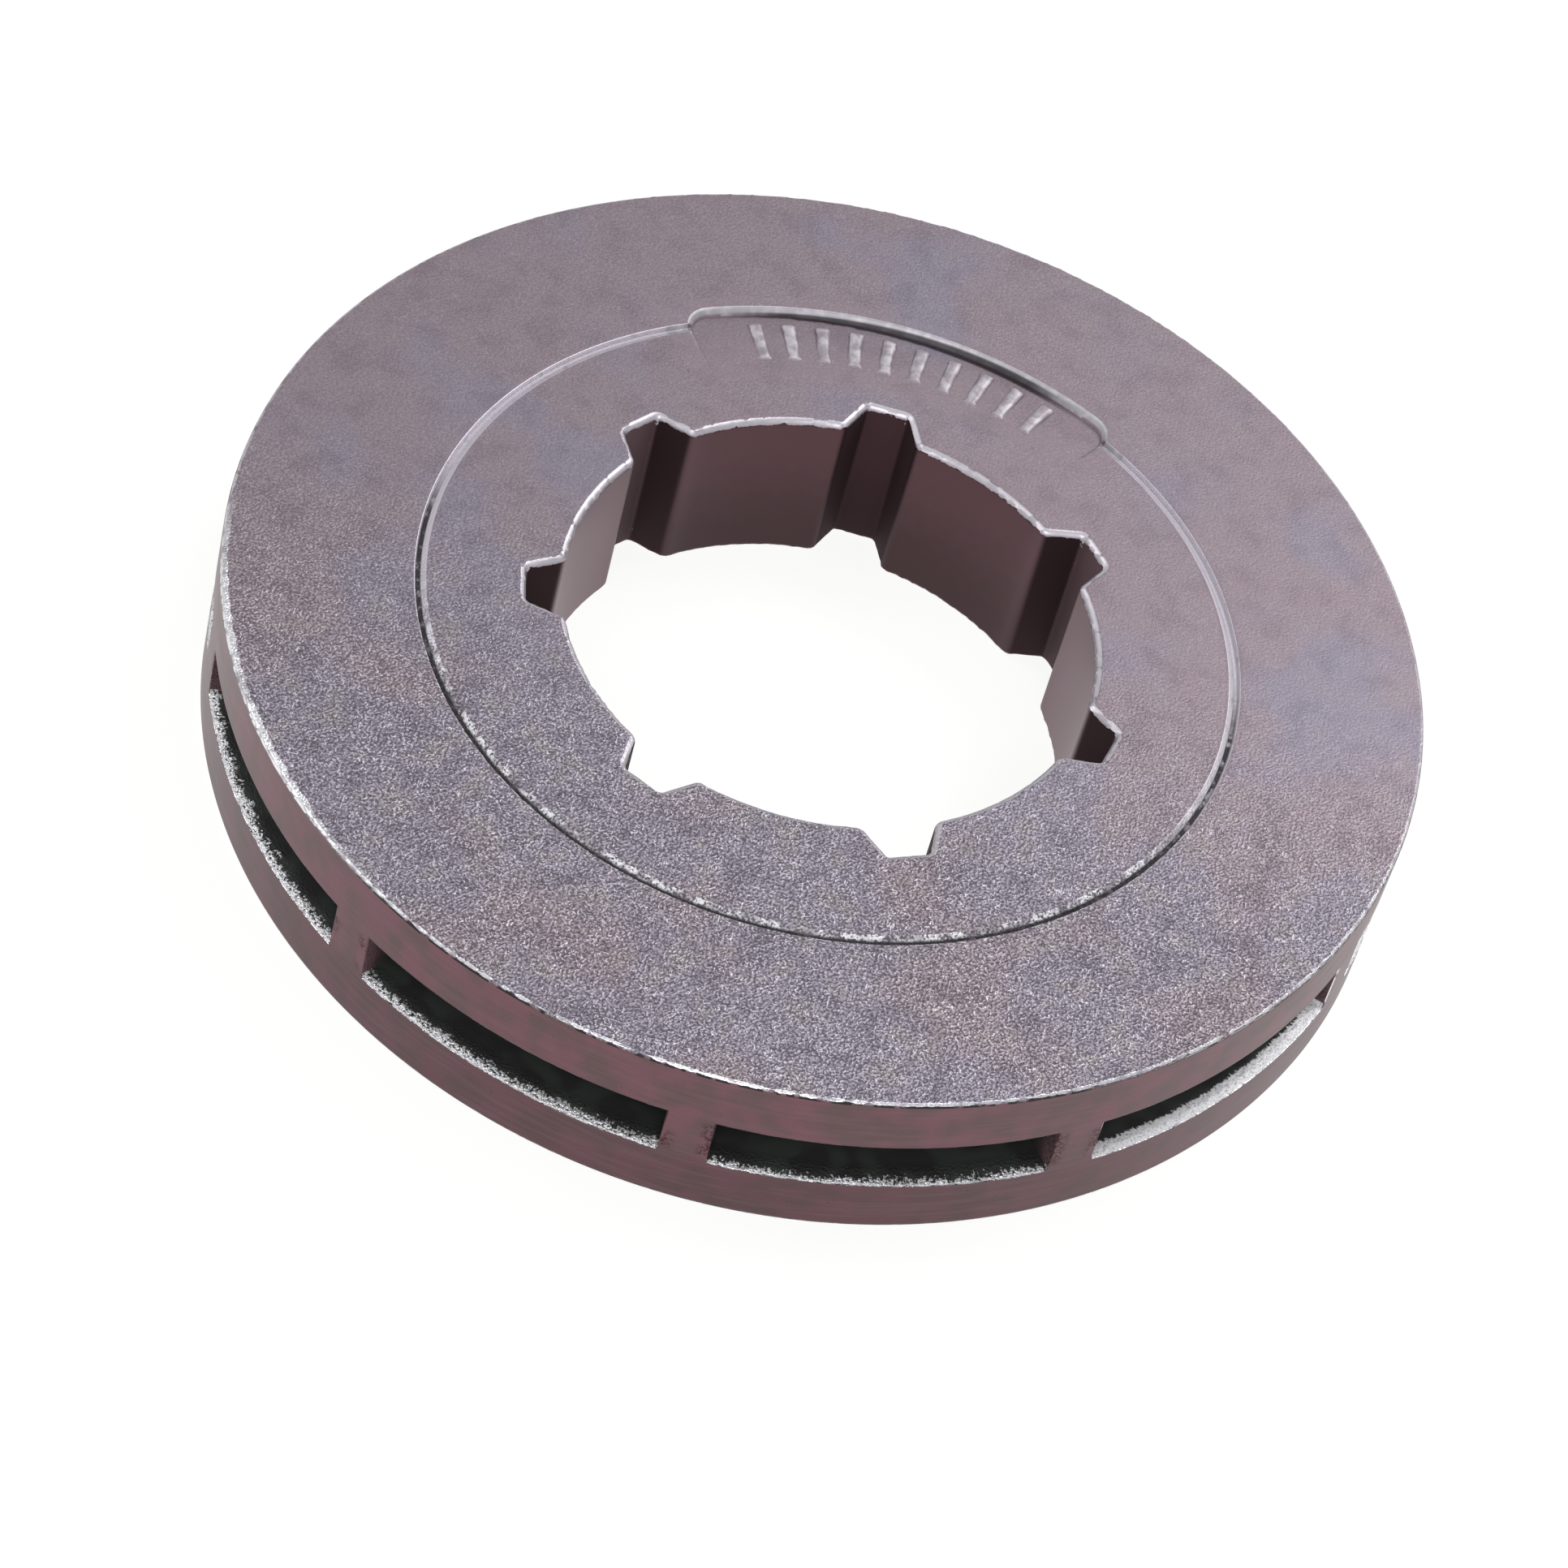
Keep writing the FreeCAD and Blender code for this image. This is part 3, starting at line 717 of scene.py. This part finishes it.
    def relief(self):
        """The grain's relief: full on the near face, slight on the sides, and crusty on the ledges."""
        relief = self.less(self.times(self.fine, 0.9), self.times(self.worms, 1.6))
        tilted = self.both(self.step(self.tilt, 0.97, 0.9), self.unlike(self.ring))
        relief = self.both(relief, self.change(self.upright, self.coarse, 0.06),
                           self.change(tilted, 1.0, 0.25))
        crust = self.both(self.fine, self.step(self.reach, self.rim - 1.2, self.rim - 0.6),
                          self.change(self.smooth, 2.0, 0.8))
        return self.bump(self.change(self.in_slot, relief, crust), GRAIN_DEPTH)

    def finished(self):
        """The whole material."""
        ledge = self.ledge()
        metal = self.change(self.in_slot, 1.0, self.both(ledge, self.change(self.smooth, 0.6, 0.1)))
        return self.close(Base_Color=self.paint(ledge), Metallic=metal, Roughness=self.roughness(ledge),
                          Normal=self.relief())


def make_blank(name):
    """A thick disc of the rim's size."""
    s = sizes()
    deselect_all()
    bpy.ops.mesh.primitive_circle_add(vertices=s.rim_steps, radius=s.rim_radius, fill_type="NGON")
    piece = bpy.context.object
    piece.name = name
    bpy.ops.object.mode_set(mode="EDIT")
    pick_all()
    bpy.ops.mesh.extrude_region_move(TRANSFORM_OT_translate={"value": (0, 0, s.thickness)})
    tidy_normals()
    leave_edit()
    return piece


def make_spline_plug():
    """The shape of the splined bore: a shaft with tapered keys, their corners and mouths rounded."""
    s = sizes()
    slope, clear = math.sin(s.key_flank), math.cos(s.key_flank)
    inward, aside = Vector((slope, -clear, 0)), Vector((clear, slope, 0))
    corner = Vector((s.key_width / 2, s.key_reach, 0))
    corner_run = s.key_corner * (1 - slope) / clear
    corner_centre = corner - aside * s.key_corner + inward * corner_run
    bottom_end = Vector((corner_centre.x, s.key_reach, 0))
    flank_start = corner + inward * corner_run

    offset = corner + aside * s.key_mouth
    along = offset.dot(inward)
    reach = s.land_radius + s.key_mouth
    mouth_run = -along - math.sqrt(along ** 2 - offset.length_squared + reach ** 2)
    mouth_centre = offset + inward * mouth_run
    flank_end = corner + inward * mouth_run
    land_angle = math.atan2(mouth_centre.y, mouth_centre.x)

    pen = Vector((0, s.key_reach, 0))
    plug = start_outline("spline_plug", pen)
    draw_line(pen, bottom_end, 5)
    draw_arc(bottom_end, corner_centre, s.key_flank - QUARTER, 5)
    pen = draw_line(flank_start, flank_end, 6)
    pen = draw_arc(pen, mouth_centre, land_angle - s.key_flank, 8)
    draw_arc(pen, (0, 0, 0), QUARTER - math.pi / s.key_count - land_angle, 26)
    mirror_across()
    pick_all()
    bpy.ops.mesh.spin(steps=s.key_count - 1, dupli=True, center=(0, 0, 0), axis=UP,
                      angle=FULL_TURN * (s.key_count - 1) / s.key_count)
    close_and_raise((0, 0, s.thickness + 2 * MM), (0, 0, -MM))
    leave_edit()
    return plug


def make_slots():
    """The slots' shapes, with rounded roots and flanks along the webs, a web on the panel's middle line."""
    s = sizes()
    half_pitch = math.pi / s.slot_count
    along_web = Vector((math.sin(half_pitch), math.cos(half_pitch), 0))
    off_web = Vector((-math.cos(half_pitch), math.sin(half_pitch), 0))
    outside = s.rim_radius + MM
    run = math.sqrt((s.slot_floor_radius + s.slot_root) ** 2 - (s.web_width / 2 + s.slot_root) ** 2)
    root_centre = along_web * run + off_web * (s.web_width / 2 + s.slot_root)
    floor_end = root_centre * (s.slot_floor_radius / (s.slot_floor_radius + s.slot_root))
    flank_foot = along_web * run + off_web * (s.web_width / 2)
    flank_top = along_web * math.sqrt(outside ** 2 - (s.web_width / 2) ** 2) + off_web * (s.web_width / 2)

    middle = Vector((0, s.slot_floor_radius, 0))
    block = start_outline("slots", middle)
    draw_arc(middle, (0, 0, 0), -bearing(floor_end), 12)
    draw_arc(floor_end, root_centre, turn_between(floor_end, root_centre, flank_foot), 8)
    draw_line(flank_foot, flank_top, 4)
    draw_arc(flank_top, (0, 0, 0), bearing(flank_top), 60)
    mirror_across()
    close_and_raise((0, 0, s.slot_height), (0, 0, (s.thickness - s.slot_height) / 2))
    copies_round(block, s.slot_count)
    return block


def copies_round(piece, count, turn=FULL_TURN):
    """Copies of a mesh round the axis, evenly spaced over a turn about the panel's middle line."""
    step = turn / count
    edit(piece)
    pick_all()
    bpy.ops.transform.rotate(value=-step * (count - 1) / 2, orient_axis="Z", center_override=(0, 0, 0))
    pick_all()
    bpy.ops.mesh.spin(steps=count - 1, dupli=True, center=(0, 0, 0), axis=UP, angle=step * (count - 1))
    leave_edit()


def make_ledges():
    """Shapes that wear a crumbly ledge, steeper at its outer lip, into the lower lip of every slot."""
    s = sizes()
    floor = (s.thickness - s.slot_height) / 2
    near, far = s.rim_radius - LEDGE_DEEP, s.rim_radius + LEDGE_PAST
    corners = []
    for i in range(LEDGE_ROWS + 1):
        reach = near + (far - near) * i / LEDGE_ROWS
        fall = max(slope * (reach - s.rim_radius + start) for slope, start in LEDGE_FALLS)
        corners.append((reach, floor - fall))
    corners += [(far, floor + MM), (near, floor + MM)]
    open_angle = FULL_TURN / s.slot_count - 2 * math.asin((s.web_width / 2 + 0.01 * MM) / near)
    ledges = turned_ring("slot_ledges", corners, LEDGE_STEPS, open_angle)
    copies_round(ledges, s.slot_count)
    roughen(ledges, lambda co: co.z < floor + 0.2 * MM, LEDGE_WAVES)
    return ledges


def roughen(piece, test, waves):
    """Push the points that pass the test about by cloudy noise: (direction, size, depth) for each wave."""
    group = piece.vertex_groups.new(name="rough")
    group.add([v.index for v in piece.data.vertices if test(v.co)], 1.0, "REPLACE")
    for direction, size, depth in waves:
        clouds = bpy.data.textures.new(piece.name + "_clouds", "CLOUDS")
        clouds.noise_scale = size
        clouds.noise_depth = 1
        add_modifier(piece, "DISPLACE", texture=clouds, texture_coords="LOCAL", direction=direction,
                     strength=depth, mid_level=0.5, vertex_group="rough")
    piece.vertex_groups.clear()


def panel_slope():
    """How far the panel's floor falls for each length outwards."""
    s = sizes()
    return s.panel_depth / (s.panel_lip_radius - s.panel_inner_radius)


def panel_floor_at(reach):
    """Height of the panel's sloping floor at a distance from the axis."""
    s = sizes()
    return s.thickness - panel_slope() * (reach - s.panel_inner_radius)


def make_panel_block():
    """The marking panel's shape: tapered walls, rounded outer corners and a sloping floor."""
    s = sizes()
    half = s.panel_angle / 2
    along_end = Vector((math.sin(half), math.cos(half), 0))
    off_end = Vector((-math.cos(half), math.sin(half), 0))
    inside = s.panel_inner_radius - MM
    run = math.sqrt((s.panel_lip_radius - s.panel_corner) ** 2 - s.panel_corner ** 2)
    centre = along_end * run + off_end * s.panel_corner
    lip_end = centre * (s.panel_lip_radius / (s.panel_lip_radius - s.panel_corner))
    middle = Vector((0, inside, 0))
    block = start_outline("panel_block", middle)
    draw_arc(middle, (0, 0, 0), -half, 40)
    draw_line(along_end * inside, along_end * run, 24)
    draw_arc(along_end * run, centre, turn_between(along_end * run, centre, lip_end), 10)
    draw_arc(lip_end, (0, 0, 0), bearing(lip_end), 90)
    mirror_across()
    close_and_raise((0, 0, PANEL_ABOVE), (0, 0, s.thickness))
    pick("FACE", lambda face: face.normal.z < -0.9)
    bpy.ops.mesh.inset(thickness=s.panel_depth * math.tan(s.panel_taper), depth=s.panel_depth)
    tidy_normals()
    leave_edit()
    near, far = s.panel_inner_radius - 2 * MM, s.panel_lip_radius + MM
    below = s.thickness - s.panel_depth - MM
    floor = turned_ring("panel_floor", [
        (near, below), (far, below), (far, panel_floor_at(far)), (near, panel_floor_at(near)),
    ], PANEL_FLOOR_STEPS, s.panel_angle + math.radians(16))
    carve(block, floor)
    return block


def make_ring_cutter():
    """The fine ring's section, a V with a worn brim, turned round the axis."""
    s = sizes()
    middle, half, foot = s.ring_radius, s.ring_width / 2, s.ring_bottom / 2
    top, depth = s.thickness, s.ring_depth
    bend, brim = half * RING_BEND, half * RING_BRIM
    bottom, bend_at, brim_at = top - depth, top - depth * RING_BEND_DEPTH, top - depth * RING_BRIM_DEPTH
    return turned_ring("ring_cutter", [
        (middle + RING_SHIFT - foot, bottom), (middle + RING_SHIFT + foot, bottom),
        (middle + bend, bend_at), (middle + brim, brim_at), (middle + brim, top + MM),
        (middle - brim, top + MM), (middle - brim, brim_at), (middle - bend, bend_at),
    ], RING_STEPS)


def at_height(edge, *heights):
    """Whether both ends of an edge are at one of these heights."""
    return any(all(abs(v.co.z - height) < NEAR for v in edge.verts) for height in heights)


def round_corners(piece, test, width, **settings):
    """Bevel the corners that pass the test to this width."""
    edit(piece)
    pick("EDGE", lambda edge: is_corner(edge) and test(edge))
    bpy.ops.mesh.bevel(offset=width, **settings)
    leave_edit()


def wear_edges(body):
    """Make the rounded edges at both faces lumpy: their borders along the face, the rest any way."""
    s = sizes()

    def near_edge(co):
        return radius(co) > s.rim_radius - 1.6 * s.rim_edge or radius(co) < s.key_reach + 1.4 * s.bore_edge

    def on_border(co):
        return near_edge(co) and min(abs(co.z), abs(co.z - s.thickness)) < NEAR

    def in_rounding(co):
        away = min(co.z, s.thickness - co.z)
        return near_edge(co) and NEAR < away < 0.9 * s.bore_edge and radius(co) < s.rim_radius - 0.06 * MM

    roughen(body, on_border, BORDER_WAVES)
    roughen(body, in_rounding, ROUNDING_WAVES)


def dress(piece, lips=None):
    """Smooth a finished piece but for the edges that pass as lips, give it the steel and let it ride."""
    use(piece)
    bpy.ops.object.shade_smooth_by_angle(angle=math.radians(32))
    if lips:
        edit(piece)
        pick("EDGE", lips)
        bpy.ops.mesh.mark_sharp()
        leave_edit()
    add_modifier(piece, "WEIGHTED_NORMAL", keep_sharp=True, weight=100)
    piece.data.materials.clear()
    piece.data.materials.append(bpy.data.materials.get("blasted_steel") or BlastedSteel().finished())
    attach(piece, "root")


class SPROCKET_OT_body(bpy.types.Operator):
    """Model the sprocket's body as one piece of worn steel"""

    bl_idname = "sprocket.body"
    bl_label = "Sprocket body"

    def execute(self, context):
        s = sizes()
        top, rim = s.thickness, s.rim_radius - 0.01 * MM

        def at_bore(edge):
            return radius(edge.verts[0].co) < s.key_reach + MM and at_height(edge, 0, top)

        def at_rim(edge):
            return radius(edge.verts[0].co) > rim and at_height(edge, 0, top)

        def at_slot_top(edge):
            return max(v.co.z for v in edge.verts) > top / 2 and all(
                radius(v.co) > rim and 2 * MM < v.co.z < top - 2 * MM for v in edge.verts)

        def at_panel_lip(edge):
            reaches = [radius(v.co) for v in edge.verts]
            return (at_height(edge, top) and abs(bearing(edge.verts[0].co)) < s.panel_angle / 2 + 0.05
                    and PANEL_LIP_FROM < min(reaches) and max(reaches) < s.panel_lip_radius + 0.1 * MM)

        body = make_blank("sprocket_body")
        carve(body, make_spline_plug())
        round_corners(body, at_bore, s.bore_edge, segments=3, loop_slide=False)
        round_corners(body, at_rim, s.rim_edge, segments=3)
        carve(body, make_slots())
        round_corners(body, at_slot_top, SLOT_LIP, segments=2)
        carve(body, make_ledges())
        carve(body, make_panel_block())
        round_corners(body, at_panel_lip, PANEL_LIP, segments=2)
        carve(body, make_ring_cutter())
        wear_edges(body)
        dress(body, is_side_border)
        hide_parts("rim_sprocket")
        return {"FINISHED"}


class SPROCKET_OT_strokes(bpy.types.Operator):
    """Model the plain raised tally strokes in the marking panel, one for each slot"""

    bl_idname = "sprocket.strokes"
    bl_label = "Tally strokes"

    def execute(self, context):
        s = sizes()
        half, inner, outer = s.stroke_width / 2, s.stroke_start, s.stroke_end
        foot_in = Vector((-half, inner, panel_floor_at(inner) - STROKE_SUNK))
        foot_out = Vector((-half, outer, panel_floor_at(outer) - STROKE_SUNK))
        top_in = Vector((-half, inner, s.thickness - 0.03 * MM))
        top_out = Vector((-half, outer, panel_floor_at(outer) + s.stroke_height))
        strokes = start_outline("tally_strokes", foot_in)
        draw_line(foot_in, foot_out, 10)
        draw_line(foot_out, top_out, 2)
        draw_line(top_out, top_in, 10)
        draw_line(top_in, foot_in, 2)
        close_and_raise((2 * half, 0, 0))

        def above(vert, gap):
            share = (vert.co.y - inner) / (outer - inner)
            return vert.co.z > top_in.z + (top_out.z - top_in.z) * share - gap

        pick("VERT", lambda vert: above(vert, 0.01 * MM))
        bpy.ops.transform.resize(value=STROKE_TOP, center_override=(0, (inner + outer) / 2, 0))
        round_corners(strokes, lambda edge: any(above(vert, 0.02 * MM) for vert in edge.verts),
                      STROKE_EDGE, segments=4)
        copies_round(strokes, s.slot_count, s.stroke_spread)
        roughen(strokes, lambda co: True, STROKE_WAVES)
        dress(strokes)
        return {"FINISHED"}


def floor_paper():
    """White paper with a soft shadow, white in gloss too, and clear from below to show the lower face."""
    f = Finish("floor_paper")
    paper = f.node("ShaderNodeBsdfDiffuse", {"Color": FLOOR_GREY})
    light = f.node("ShaderNodeEmission", {"Color": (1, 1, 0.99, 1), "Strength": FLOOR_GLOW})
    path = f.node("ShaderNodeLightPath")
    seen = f.either(*(path.outputs["Is %s Ray" % kind] for kind in ("Camera", "Glossy", "Transmission")))
    glow = f.node("ShaderNodeMixShader", {0: seen, 2: light.outputs[0]})
    both = f.node("ShaderNodeAddShader", {0: paper.outputs[0], 1: glow.outputs[0]})
    below = f.node("ShaderNodeNewGeometry").outputs["Backfacing"]
    clear = f.node("ShaderNodeBsdfTransparent")
    sheet = f.node("ShaderNodeMixShader", {0: below, 1: both.outputs[0], 2: clear.outputs[0]})
    f.node("ShaderNodeOutputMaterial", {"Surface": sheet.outputs[0]})
    return f.material


def around(bearing_deg, rise_deg, distance):
    """A point round the sprocket: its bearing from the panel's side, its angle up and its distance."""
    heading, rise = math.radians(bearing_deg), math.radians(rise_deg)
    return Vector((math.sin(heading) * math.cos(rise), math.cos(heading) * math.cos(rise),
                   math.sin(rise))) * distance


def put_in_scene(data, place, target, roll=0.0):
    """Set a lamp or camera down at one point, turned to face another."""
    thing = bpy.data.objects.new(data.name, data)
    bpy.context.scene.collection.objects.link(thing)
    turn = (Vector(target) - place).to_track_quat("-Z", "Y").to_matrix().to_4x4()
    thing.matrix_world = Matrix.Translation(place) @ turn @ Matrix.Rotation(roll, 4, "Z")
    return thing


def add_lamp(name, watts, size, bearing_deg, rise_deg, distance):
    """A square soft lamp that faces the sprocket."""
    data = bpy.data.lights.new(name, "AREA")
    data.energy = watts
    data.size = size
    put_in_scene(data, around(bearing_deg, rise_deg, distance), (0, 0, 0))


def add_camera():
    """The camera at the photograph's viewing angle."""
    data = bpy.data.cameras.new("camera")
    data.sensor_width = 36
    data.lens = CAMERA_LENS
    data.clip_start, data.clip_end = 0.01, 20
    place = CAMERA_TARGET + around(CAMERA_BEARING, CAMERA_RISE, CAMERA_DISTANCE)
    bpy.context.scene.camera = put_in_scene(data, place, CAMERA_TARGET, math.radians(CAMERA_ROLL))


class SPROCKET_OT_stage(bpy.types.Operator):
    """Set the plain floor, the soft lamps, the world and the camera"""

    bl_idname = "sprocket.stage"
    bl_label = "Studio"

    def execute(self, context):
        deselect_all()
        bpy.ops.mesh.primitive_circle_add(vertices=96, radius=FLOOR_REACH, fill_type="NGON")
        floor = bpy.context.object
        floor.name = "floor"
        bpy.ops.object.mode_set(mode="EDIT")
        bpy.ops.mesh.select_mode(type="FACE")
        pick_all()
        bpy.ops.transform.translate(value=(0, 0, -FLOOR_GAP))
        bpy.ops.mesh.inset(thickness=FLOOR_REACH * 0.4, depth=0)
        pick("VERT", lambda vert: radius(vert.co) > FLOOR_REACH * 0.9)
        bpy.ops.transform.translate(value=(0, 0, FLOOR_REACH * 0.25))
        pick("EDGE", lambda edge: len(edge.link_faces) == 2 and all(v.co.z < NEAR for v in edge.verts))
        bpy.ops.mesh.bevel(offset=FLOOR_REACH * 0.3, segments=16)
        leave_edit()
        bpy.ops.object.shade_smooth()
        floor.data.materials.append(floor_paper())
        for lamp in LAMPS:
            add_lamp(*lamp)
        add_camera()
        world = bpy.data.worlds.new("studio")
        context.scene.world = world
        world.use_nodes = True
        background = world.node_tree.nodes["Background"]
        background.inputs["Color"].default_value = WORLD_COLOUR
        background.inputs["Strength"].default_value = WORLD_STRENGTH
        context.scene.view_settings.view_transform = "Standard"
        return {"FINISHED"}


class SPROCKET_PT_panel(bpy.types.Panel):
    """The sprocket's steps in the order they run"""

    bl_label = "Rim Sprocket"
    bl_idname = "SPROCKET_PT_panel"
    bl_space_type = "VIEW_3D"
    bl_region_type = "UI"
    bl_category = "Rim Sprocket"

    def draw(self, context):
        for step in STEPS:
            self.layout.operator(step.bl_idname)
        for name in SprocketSizes.__annotations__:
            self.layout.prop(context.scene.sprocket_sizes, name)
        for name in SprocketColours.__annotations__:
            self.layout.prop(context.scene.sprocket_colours, name)


STEPS = (SPROCKET_OT_body, SPROCKET_OT_strokes, SPROCKET_OT_stage)
CLASSES = (SprocketSizes, SprocketColours, *STEPS, SPROCKET_PT_panel)


def register():
    for kind in CLASSES:
        bpy.utils.register_class(kind)
    bpy.types.Scene.sprocket_sizes = bpy.props.PointerProperty(type=SprocketSizes)
    bpy.types.Scene.sprocket_colours = bpy.props.PointerProperty(type=SprocketColours)


def unregister():
    del bpy.types.Scene.sprocket_colours
    del bpy.types.Scene.sprocket_sizes
    for kind in reversed(CLASSES):
        bpy.utils.unregister_class(kind)


def main():
    register()
    bpy.ops.sprocket.body()
    bpy.ops.sprocket.strokes()
    bpy.ops.sprocket.stage()


if __name__ == "__main__":
    main()
